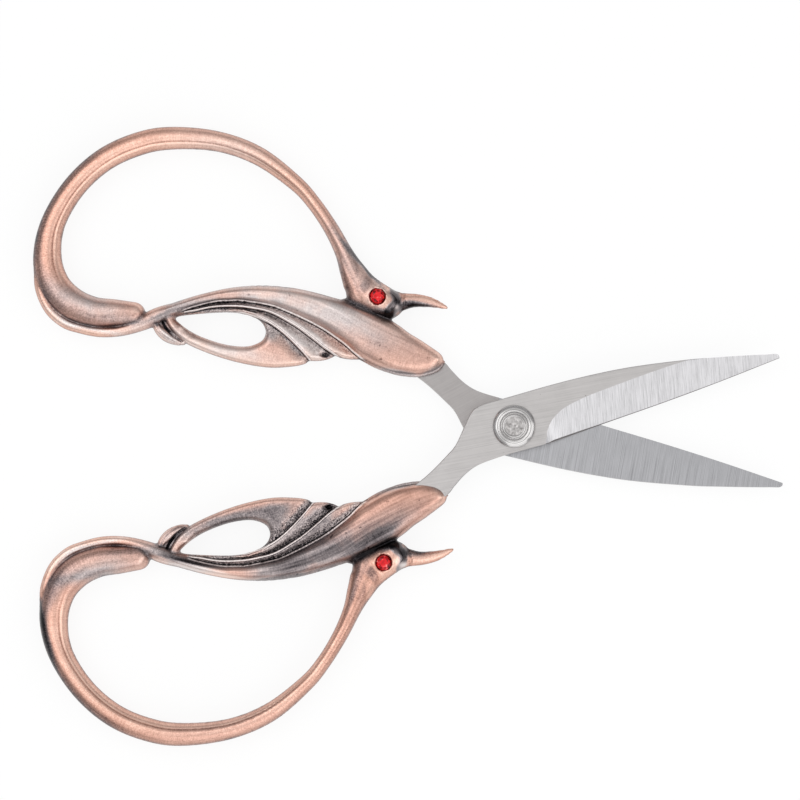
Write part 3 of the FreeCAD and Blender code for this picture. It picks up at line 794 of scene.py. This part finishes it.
def steel_material(name, shade, roughness, angle, contrast):
    """Ground steel. The scratches run at an angle, in degrees, in the blade's closed frame."""
    n = Nodes(name)
    grain = n.vector("grain")

    def scratches(width, length, detail, noise_roughness):
        inputs = {"Vector": grain, "Rotation": (0, 0, math.radians(angle)),
                  "Scale": (width, length, 1.0)}
        turned = n.add("ShaderNodeMapping", inputs, vector_type="TEXTURE").outputs["Vector"]
        return n.noise(turned, 1.0, detail, noise_roughness)

    lines = scratches(14.0, 0.13, 5.0, 0.75)
    fine = scratches(5.0, 0.05, 3.0, 0.6)
    cloud = n.noise(grain, 0.35, 3.0)
    specks = n.noise(grain, 2.3, 1.0, 0.4)
    tone = n.plus(n.swing(lines, contrast), n.swing(cloud, 0.10),
                  n.remap(specks, 0.80, 0.84, 0.0, -0.5), 0.5)
    dark = [0.70 * part for part in shade]
    light = [min(255, 1.14 * part) for part in shade]
    colour = n.ramp(tone, [(0.2, dark), (0.5, shade), (0.8, light)])
    rough = n.remap(fine, 0.3, 0.7, roughness - 0.05, roughness + 0.07)
    return n.finish(colour, 1.0, rough, n.bump(lines, 0.35, 0.00003, n.bump(fine, 0.25, 0.00002)))


def turned_material():
    """Bright turned steel: fine rings round the pivot, and a rough hammered middle."""
    n = Nodes("turned_steel")
    place = n.place()
    parts = n.parts(place)
    squares = n.plus(n.times(parts["X"], parts["X"]), n.times(parts["Y"], parts["Y"]))
    radius = n.math("SQRT", squares, 0.0)
    ring_place = n.add("ShaderNodeCombineXYZ", {"X": radius}).outputs["Vector"]
    rings = n.noise(ring_place, 7000.0, 3.0, 0.7)
    middle = n.remap(radius, 0.0017, 0.0015)
    hammered = n.noise(place, 1500.0, 4.0, 0.6)
    shade = n.ramp(rings, [(0.3, (150, 148, 148)), (0.6, (214, 212, 211))])
    dull = n.ramp(hammered, [(0.35, (132, 129, 128)), (0.65, (206, 203, 202))])
    bumps = n.bump(rings, 0.25, 0.00003)
    bumps = n.bump(hammered, n.times(middle, 0.9), 0.00012, bumps)
    rough = n.remap(middle, 0.0, 1.0, 0.20, 0.40)
    return n.finish(n.mix(middle, shade, dull), 1.0, rough, bumps)


def stone_material():
    """Red glass stone with a foil behind it: each facet gets its own red, a painted reflection,
    and painted glints brighten it.
    """
    n = Nodes("red_stone")
    glints = n.noise(n.place(), 2400.0, 1.0, 0.4)
    # depth is the painted reflection of each facet plus painted glints.
    depth = n.plus(n.number("facet"), n.swing(glints, 0.9))
    colour = n.ramp(depth, [(0.0, (84, 0, 8)), (0.35, (182, 8, 20)),
                            (0.75, (232, 30, 38)), (1.0, (255, 150, 146))])
    n.set(n.shader, "Specular IOR Level", 0.25)
    n.set(n.shader, "Coat Weight", 0.3)
    n.set(n.shader, "Coat Roughness", 0.03)
    return n.finish(colour, 0.25, n.remap(glints, 0.3, 0.7, 0.06, 0.14))


COPPER = copper_material()
BRUSHED = steel_material("brushed_steel", (186, 183, 182), 0.36, 4, 0.5)
# Brushed steel in a darker shade: painted shade on the tang.
INNER_BRUSHED_SHADED = steel_material("inner_brushed_steel_shaded", (164, 160, 159), 0.36, 40, 0.35)
# Cross-ground steel in a darker shade than the flat: painted shade for the cross grain catching
# less light.
CROSS_GROUND_SHADED = steel_material("cross_ground_steel_shaded", (170, 170, 173), 0.36, 92, 1.2)
BRIGHT_BEVEL = steel_material("ground_bevel_steel", (196, 195, 197), 0.38, 99, 1.0)
# Dark steel for a band along the cutting edge: a painted shadow where the front blade's edge lies
# over the rear blade.
EDGE_SHADOW_STEEL = steel_material("edge_shadow_steel", (104, 101, 101), 0.38, 103, 0.5)
TURNED = turned_material()
RED_STONE = stone_material()

# ------------ castings

GRID_X = graded([(-84.2, 0.28), (-61.0, 0.14), (-24.4, 0.2), (-12.9, 0.2)])
GRID_Y = graded([(-0.6, 0.14), (13.6, 0.26), (38.6, 0.26)])
GRID_Z = (np.arange(18) - 8.5) * 0.36
ROUGHCAST = {"upper": 0.5, "lower": 1.0}
SILK = {"upper": 0.3, "lower": 1.0}


def metal_age(solid, looks):
    """How dark the metal is, mostly from how deep each place lies below its surroundings."""
    thickness = np.sqrt(np.maximum(solid, 0))
    wide = blurred(thickness, 40)
    tight = blurred(thickness, 6)
    hollow = 0.34 + 0.30 * (wide - thickness) + 0.9 * (tight - thickness)
    hollow = blurred(np.clip(hollow, 0.05, 0.75) + looks["marks"], 1)
    return hollow * (1 - looks["gloss"]) + 0.74 * looks["gloss"]


def castings():
    """The two bird handles: one skin, placed twice, each with its own patina and painted
    highlights.
    """
    x, y = np.meshgrid(GRID_X, GRID_Y, indexing="ij")
    solid, looks = half_relief(x, y)
    points, quads = skin(solid, GRID_X, GRID_Y, GRID_Z)
    points = settle(points, solid, GRID_X, GRID_Y)
    px, py, pz = points.T

    def read(field):
        return sample(field, GRID_X, GRID_Y, px, py)

    def read_all(fields):
        return np.stack([read(field) for field in fields], 1)

    # Facing is 1 on level metal and 0 on the walls, where stains and drawn lines fade away.
    slope_x, slope_y = [read(slope) for slope in np.gradient(solid, GRID_X, GRID_Y)]
    facing = 2 * np.abs(pz) / np.sqrt(slope_x ** 2 + slope_y ** 2 + 4 * pz ** 2 + 1e-9)
    rim = read(blurred(np.sqrt(np.maximum(solid, 0)), 3))
    # The walls darken towards their middle: partly patina, partly painted shade of the walls.
    wall = 0.16 * (1 - smoothstep(0.0, 0.8, np.abs(pz) / np.maximum(rim, 0.4)))
    flank = read(blurred(looks["flank"], 1)) * smoothstep(0.0, 0.40, facing)
    aged = read(metal_age(solid, looks)) + wall + flank
    bar = read_all(looks["bar"])
    bar[:, 2] *= smoothstep(0.10, 0.30, facing)
    shared = {"gloss": read(looks["gloss"]), "steps": read_all(looks["steps"]), "bar": bar,
              "grain": np.column_stack([read_all(looks["grain"]), pz])}
    for side, place in PLACES.items():
        dark, film = patina_and_light_fields(PATINA_AND_PAINTED_LIGHT + PATINA_AND_PAINTED_LIGHT_ON[side], x, y)
        obj = mesh_object(f"{side}_bird_casting", points, quads.tolist(), place)
        # hollow holds the patina together with the painted shade of walls and flanks and the
        # painted light from the table.
        own = {"hollow": aged + read(dark) * smoothstep(0.05, 0.45, facing),
               "film": read(film + looks["gloss"]),
               "granular": ROUGHCAST[side] * read(looks["granular"]),
               "silk": SILK[side] * read(looks["wing"])}
        for name, values in (shared | own).items():
            add_attribute(obj.data, name, values)
        finish_piece(obj, [COPPER], BODIES[side], f"{side}_handle")


def finish_piece(obj, materials, body, node):
    for material in materials:
        obj.data.materials.append(material)
    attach(obj, body)
    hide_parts(node)


# ------------ blades
# One blade, closed: cutting edge up, spine down, outer face on the low side of the blades' plane.

TIP, SPINE_END = (45.0, 0.2), (-1.0, -4.85)
SPINE = [
    TIP, (45.06, -0.12), (44.9, -0.42), (44.5, -0.62), (43, -0.92), (40, -1.55), (35, -2.52),
    (30, -3.4), (20, -4.65), (10, -5.05), SPINE_END]
SHANK_INNER = [
    SPINE_END, (-3.5, -4.8), (-5, -4.6), (-6.2, -4), (-8, -1.9), (-10, 0.5), (-12, 1.9), (-15, 3.7),
    (-17.5, 4.9), (-23, 7.3), (-30.5, 9.6)]
SHANK_OUTER = [
    (-30.5, 11.6), (-23, 10.5), (-17, 9.2), (-13.5, 8.1), (-12, 7.05), (-10, 5.7), (-8, 4.8),
    (-6, 4.4), (-2.6, 4.15)]
CUTTING_EDGE = [(5.0, 4.1), (14.0, 3.3), (25.0, 2.4), (35.0, 1.4), TIP]
GRIND_LINE = [
    (4.3, 4.1), (4.7, 3.1), (5.1, 2.1), (5.7, 1.2), (6.5, 0.4), (7.5, -0.25), (9, -0.95),
    (12, -1.6), (15, -2), (20, -2.5), (25, -2.95), (32, -3.3), (40, -3), (47, -2.2)]
GROUND_FROM = [(-2.2, -5.5), (-3.4, 4.8)]
INNER_FACE, OUTER_FACE, EDGE_LAND = -0.025, -1.525, 0.12
EDGE_SHADOW_BAND = [(4.6, 0.05), (6.0, 0.26), (10.0, 0.24), (18.0, 0.11), (44.5, 0.06)]
BEVEL_SLOPE, CHAMFER = 0.27, 0.11
BEVEL_FROM, SHADOW_BAND_FROM = 4.3, 4.6
BORE = {"rear_blade": 1.5, "front_blade": 1.55}
FLAT, CROSS, BEVEL, EDGE, INNER = range(5)
STEELS = [BRUSHED, CROSS_GROUND_SHADED, BRIGHT_BEVEL, EDGE_SHADOW_STEEL, INNER_BRUSHED_SHADED]
GRIND_CURVE = smooth_line(GRIND_LINE)
EDGE_CURVE = np.array([(3.0, 4.1)] + CUTTING_EDGE)
SHADOW_BAND_CURVE = smooth_line(EDGE_SHADOW_BAND, 8)


def blade_points():
    """The blade's outline, and points inside it for the chamfer, the grind line, the band of
    painted shadow along the cutting edge, and the bevel.
    """
    curves = [smooth_line(part, 5) for part in (SPINE, SHANK_INNER, SHANK_OUTER, CUTTING_EDGE)]
    outline = np.vstack([curve[:-1] if i in (0, 3) else curve for i, curve in enumerate(curves)])
    grind = smooth_line(GRIND_LINE, 5)
    grind = grind[(grind[:, 1] > -4.9) & (grind[:, 0] < 34.6)]
    inset = []
    for before, point, after in zip(np.roll(outline, 1, 0), outline, np.roll(outline, -1, 0)):
        along = after - before
        normal = np.array([along[1], -along[0]]) / np.linalg.norm(along)
        inset.append(point + CHAMFER * normal)
    inset = [point for point in inset if point[0] < 34.0 and inside(outline, *point)]
    # Points along the inner side of the band of painted shadow by the cutting edge.
    facet = [(x, height_at(x, EDGE_CURVE) - width) for x, width in SHADOW_BAND_CURVE]
    scatter = []
    for x in np.concatenate([np.arange(4.8, 9, 0.4), np.arange(9, 44, 1.5)]):
        low, high = height_at(x, GRIND_CURVE), height_at(x, EDGE_CURVE)
        scatter += [(x, low + (high - low) * share) for share in (0.25, 0.5, 0.75)]
    return outline, np.array(inset), grind, np.array(facet), np.array(scatter)


def outer_z(x, y, to_rim, on_cutting_edge):
    """Height of the outer face: flat, ground down to the cutting edge, chamfered at the rim."""
    low = height_at(x, GRIND_CURVE)
    width = height_at(x, EDGE_CURVE) - low
    depth = np.minimum(INNER_FACE - OUTER_FACE - EDGE_LAND, BEVEL_SLOPE * width)
    share = np.clip((y - low) / np.maximum(width, 0.05), 0, 1)
    ground = np.where((x > BEVEL_FROM) & (width > 0.05), depth * share, 0)
    chamfer = np.where(on_cutting_edge, 0, np.maximum(CHAMFER - to_rim, 0))
    return OUTER_FACE + np.where(np.hypot(x, y) < 2.5, 0, np.maximum(ground, chamfer))


def outer_steel(x, y):
    """Which steel shows at a place on the outer face; a band along the cutting edge gets dark
    steel, a painted shadow of the edge.
    """
    edge = height_at(x, EDGE_CURVE)
    if x > SHADOW_BAND_FROM and y > edge - height_at(x, SHADOW_BAND_CURVE):
        return EDGE
    return BEVEL if x > BEVEL_FROM and y > height_at(x, GRIND_CURVE) else FLAT


def inner_steel(x, y):
    """The inner face is ground across, from a slanted line beside the pivot to the tip."""
    (low_x, low_y), (high_x, high_y) = GROUND_FROM
    return CROSS if x > np.interp(y, [low_y, high_y], [low_x, high_x]) else INNER


def blade_sheet(bore_radius):
    """The blade as a flat sheet: its outline, its points and its triangles."""
    outline, inset, grind, facet, scatter = blade_points()
    turns = 2 * math.pi * np.arange(48) / 48
    bore = bore_radius * np.stack([np.cos(turns), np.sin(turns)], 1)
    scatter = scatter[inside(outline, *scatter.T)]
    coords, edges = [], []
    for points, closed in ((outline, True), (bore, True), (inset, False), (grind, False),
                           (facet, False), (GROUND_FROM, False)):
        start = len(coords)
        coords += [Vector(point) for point in points]
        edges += [(i, i + 1) for i in range(start, len(coords) - 1)]
        if closed:
            edges.append((len(coords) - 1, start))
    coords += [Vector(point) for point in scatter]
    flat, _, triangles, *_ = geometry.delaunay_2d_cdt(coords, edges, [], 0, 1e-5)
    flat, triangles = np.array([tuple(point) for point in flat]), np.array(triangles)
    middle = flat[triangles].mean(1).T
    triangles = triangles[inside(outline, *middle) & (np.hypot(*middle) > 0.99 * bore_radius)]
    used = np.unique(triangles)
    return outline, flat[used], np.searchsorted(used, triangles)


def blade_piece(node, side):
    """A blade as one closed mesh, with the marks of grinding on each of its faces."""
    outline, flat, triangles = blade_sheet(BORE[node])
    x, y = flat.T
    to_rim = np.abs(depth_inside(outline, x, y))
    to_edge = nearest_on(np.array(CUTTING_EDGE), x, y)[0]
    outer = np.column_stack([flat, outer_z(x, y, to_rim, to_edge < 0.05)])
    inner = np.column_stack([flat, np.full(len(flat), INNER_FACE)])
    points = np.vstack([outer, inner])
    over = len(flat)
    faces, steels, sides = [], [], []
    for a, b, c in triangles.tolist():
        middle = flat[[a, b, c]].mean(0)
        faces += [(c, b, a), (over + a, over + b, over + c)]
        steels += [outer_steel(*middle), inner_steel(*middle)]
        sides += [(a, b), (b, c), (c, a)]
    known = set(sides)
    rim = [(start, end) for start, end in sides if (end, start) not in known]
    faces += [(start, end, over + end, over + start) for start, end in rim]
    steels += [FLAT] * len(rim)
    obj = mesh_object(f"{node}_ground", points, faces, PLACES[side])
    obj.data.set_sharp_from_angle(angle=math.radians(9))
    add_attribute(obj.data, "grain", points)
    finish_piece(obj, STEELS, BODIES[side], node)
    obj.data.polygons.foreach_set("material_index", steels)


# ------------ pivot
# Half sections of the turned pieces: radius and height over the resting plane, in millimetres.

RIVET = [
    (0, 0), (1.9, 0), (2.08, 0.05), (2.17, 0.14), (2.2, 0.28), (2.2, 0.9), (2.16, 0.97),
    (1.5, 0.97), (1.5, 5.06), (2.16, 5.06), (2.2, 5.1), (2.2, 5.2), (2.17, 5.27), (2.12, 5.3),
    (2.07, 5.29), (2.04, 5.26), (2, 5.27), (1.95, 5.34), (1.88, 5.44), (1.8, 5.5), (1.72, 5.5),
    (1.66, 5.46), (1.62, 5.39), (1.56, 5.35), (1.3, 5.36), (0.9, 5.38), (0.5, 5.36), (0.3, 5.31),
    (0.14, 5.24), (0, 5.22)]
FRONT_WASHER = [
    (1.56, 4.56), (3.4, 4.56), (3.48, 4.6), (3.5, 4.68), (3.49, 4.78), (3.45, 4.88), (3.36, 4.99),
    (3.24, 5.1), (3.1, 5.2), (2.96, 5.28), (2.86, 5.33), (2.8, 5.34), (2.76, 5.33), (2.73, 5.34),
    (2.69, 5.39), (2.62, 5.43), (2.55, 5.43), (2.51, 5.4), (2.48, 5.39), (2.45, 5.41), (2.41, 5.42),
    (2.37, 5.4), (2.33, 5.34), (2.29, 5.26), (2.27, 5.06), (1.56, 5.06)]
REAR_WASHER = [
    (1.56, 0.98), (3.36, 0.98), (3.45, 1.01), (3.5, 1.08), (3.5, 1.38), (3.45, 1.45), (3.36, 1.47),
    (1.56, 1.47)]


def revolve(name, section):
    """A closed turned piece round the pivot's axis."""
    segments = 120
    points, faces, rings = [], [], []
    for radius, height in section:
        if radius == 0:
            rings.append([len(points)] * segments)
            points.append((0, 0, height))
            continue
        rings.append(list(range(len(points), len(points) + segments)))
        for i in range(segments):
            turn = 2 * math.pi * i / segments
            points.append((radius * math.cos(turn), radius * math.sin(turn), height))
    has_hole = section[0][0] != 0
    pairs = list(zip(rings, rings[1:])) + ([(rings[-1], rings[0])] if has_hole else [])
    for low, high in pairs:
        for i in range(segments):
            j = (i + 1) % segments
            corners = [low[i], low[j], high[j], high[i]]
            # At the axis two corners are the same point, and the face is a triangle.
            faces.append([c for k, c in enumerate(corners) if c != corners[k - 1]])
    return mesh_object(name, points, faces, Matrix.Identity(4))


def pivot():
    """The rivet and its two washers, all on the rear half."""
    turned = {"pivot_rivet": ("rivet_turned", RIVET),
              "front_washer": ("front_washer_turned", FRONT_WASHER),
              "rear_washer": ("rear_washer_turned", REAR_WASHER)}
    for node, (name, section) in turned.items():
        obj = revolve(name, section)
        obj.data.set_sharp_from_angle(angle=math.radians(50))
        finish_piece(obj, [TURNED], "rear_half", node)


# ------------ stones

TABLE_RADIUS, STAR_RADIUS = 0.66, 0.93
SEAT_Z, GIRDLE_Z, STAR_Z, TABLE_Z = 2.03, 2.44, 2.80, 2.93


def stone(name, side, face_sign, node, body):
    """A small brilliant: table, star, kite and girdle facets over a plain base."""
    def ring(radius, height, count, offset=0.0):
        turns = [2 * math.pi * (i + offset) / count for i in range(count)]
        return [(GEM_CENTRE[0] + radius * math.cos(t), GEM_CENTRE[1] + radius * math.sin(t),
                 face_sign * height) for t in turns]

    table = ring(TABLE_RADIUS, TABLE_Z, 8)
    star = ring(STAR_RADIUS, STAR_Z, 8, 0.5)
    girdle = ring(GEM_RADIUS, GIRDLE_Z, 16)
    base = ring(GEM_RADIUS - 0.03, SEAT_Z, 16)
    points = table + star + girdle + base
    faces = [list(range(8))]
    for k in range(8):
        after, before = (k + 1) % 8, (k - 1) % 8
        faces.append([k, 8 + k, after])
        faces.append([k, 8 + before, 16 + 2 * k, 8 + k])
        faces.append([8 + k, 16 + 2 * k, 16 + 2 * k + 1])
        faces.append([8 + k, 16 + 2 * k + 1, 16 + (2 * k + 2) % 16])
    for i in range(16):
        j = (i + 1) % 16
        faces.append([16 + i, 32 + i, 32 + j, 16 + j])
    faces.append([32 + i for i in range(15, -1, -1)])
    if face_sign < 0:
        faces = [face[::-1] for face in faces]
    obj = mesh_object(name, points, faces, PLACES[side], smooth=False)
    # Each facet's red is a painted reflection, picked at random; the table's is fixed.
    facet_reflections = np.random.default_rng(11).uniform(0.0, 0.85, len(faces))
    facet_reflections[0] = 0.66
    attribute = obj.data.attributes.new("facet", "FLOAT", "FACE")
    attribute.data.foreach_set("value", facet_reflections.astype(np.float32))
    finish_piece(obj, [RED_STONE], body, node)


castings()
blade_piece("rear_blade", "upper")
blade_piece("front_blade", "lower")
pivot()
for side in PLACES:
    front_sign = 1 if side == "upper" else -1
    stone(f"{side}_front_stone", side, front_sign, f"{side}_front_gem", BODIES[side])
    stone(f"{side}_back_stone", side, -front_sign, f"{side}_back_gem", BODIES[side])


# ------------ stage, light, camera


def floor():
    """A pale floor. The camera and the polished metal see it almost white."""
    reach = 1.5
    mesh = bpy.data.meshes.new("floor")
    corners = [(-reach, -reach, 0), (reach, -reach, 0), (reach, reach, 0), (-reach, reach, 0)]
    mesh.from_pydata(corners, [], [(0, 1, 2, 3)])
    n = Nodes("pale_floor")
    n.set(n.shader, "Base Color", (0.9, 0.9, 0.9, 1))
    n.set(n.shader, "Roughness", 0.9)
    white = n.add("ShaderNodeEmission", {"Color": (1, 1, 1, 1), "Strength": 1.0})
    seen = n.add("ShaderNodeLightPath").outputs
    reflected = n.math("MAXIMUM", seen["Is Glossy Ray"], seen["Is Transmission Ray"])
    direct = n.times(n.math("MAXIMUM", seen["Is Camera Ray"], reflected), 0.88)
    both = n.add("ShaderNodeMixShader", {0: direct, 1: n.shader.outputs[0], 2: white.outputs[0]})
    n.set(n.tree.nodes["Material Output"], "Surface", both.outputs[0])
    mesh.materials.append(n.material)
    scene_object("floor", mesh)


def world():
    """A soft room: pale overhead, dimmer towards the horizon."""
    room = bpy.data.worlds.new("studio")
    bpy.context.scene.world = room
    room.use_nodes = True
    tree = room.node_tree
    direction = tree.nodes.new("ShaderNodeTexCoord")
    parts = tree.nodes.new("ShaderNodeSeparateXYZ")
    tree.links.new(direction.outputs["Generated"], parts.inputs[0])
    ramp = tree.nodes.new("ShaderNodeValToRGB")
    tree.links.new(parts.outputs["Z"], ramp.inputs["Fac"])
    horizon, overhead = ramp.color_ramp.elements
    horizon.position, horizon.color = 0.0, (0.15, 0.15, 0.16, 1)
    overhead.position, overhead.color = 0.75, (0.90, 0.90, 0.90, 1)
    tree.links.new(ramp.outputs["Color"], tree.nodes["Background"].inputs["Color"])


def lamps():
    """Square area lamps, aimed at the pivot: place, width and power."""
    plan = {"key": ((-0.30, 0.12, 0.50), 0.50, 0.9), "front": ((0.10, -0.50, 0.30), 0.70, 1.3),
            "right": ((0.50, -0.10, 0.35), 0.50, 0.7)}
    for name, (spot, width, power) in plan.items():
        lamp = bpy.data.lights.new(name, "AREA")
        lamp.shape = "SQUARE"
        lamp.size = width
        lamp.energy = power
        obj = scene_object(name, lamp)
        obj.location = spot
        obj.rotation_euler = (-Vector(spot)).to_track_quat("-Z", "Y").to_euler()


def camera():
    """Almost straight above, with the slight tilt and roll of the photograph."""
    target = Vector((-0.01855, 0.00486, 0.003))
    elevation, roll, distance = math.radians(86.5), math.radians(1.35), 0.60
    view_width = 0.1313
    lens = bpy.data.cameras.new("camera")
    lens.sensor_width = 36
    lens.lens = lens.sensor_width * distance / view_width
    lens.clip_start = 0.01
    level = Matrix.Rotation(-roll, 3, "Z")
    back = level @ Vector((0, -math.cos(elevation), math.sin(elevation)))
    right = level @ Vector((1, 0, 0))
    turn = Matrix((right, back.cross(right), back)).transposed().to_4x4()
    obj = scene_object("camera", lens)
    obj.matrix_world = Matrix.Translation(target + back * distance) @ turn
    bpy.context.scene.camera = obj


floor()
world()
lamps()
camera()
bpy.context.scene.view_settings.view_transform = "Standard"
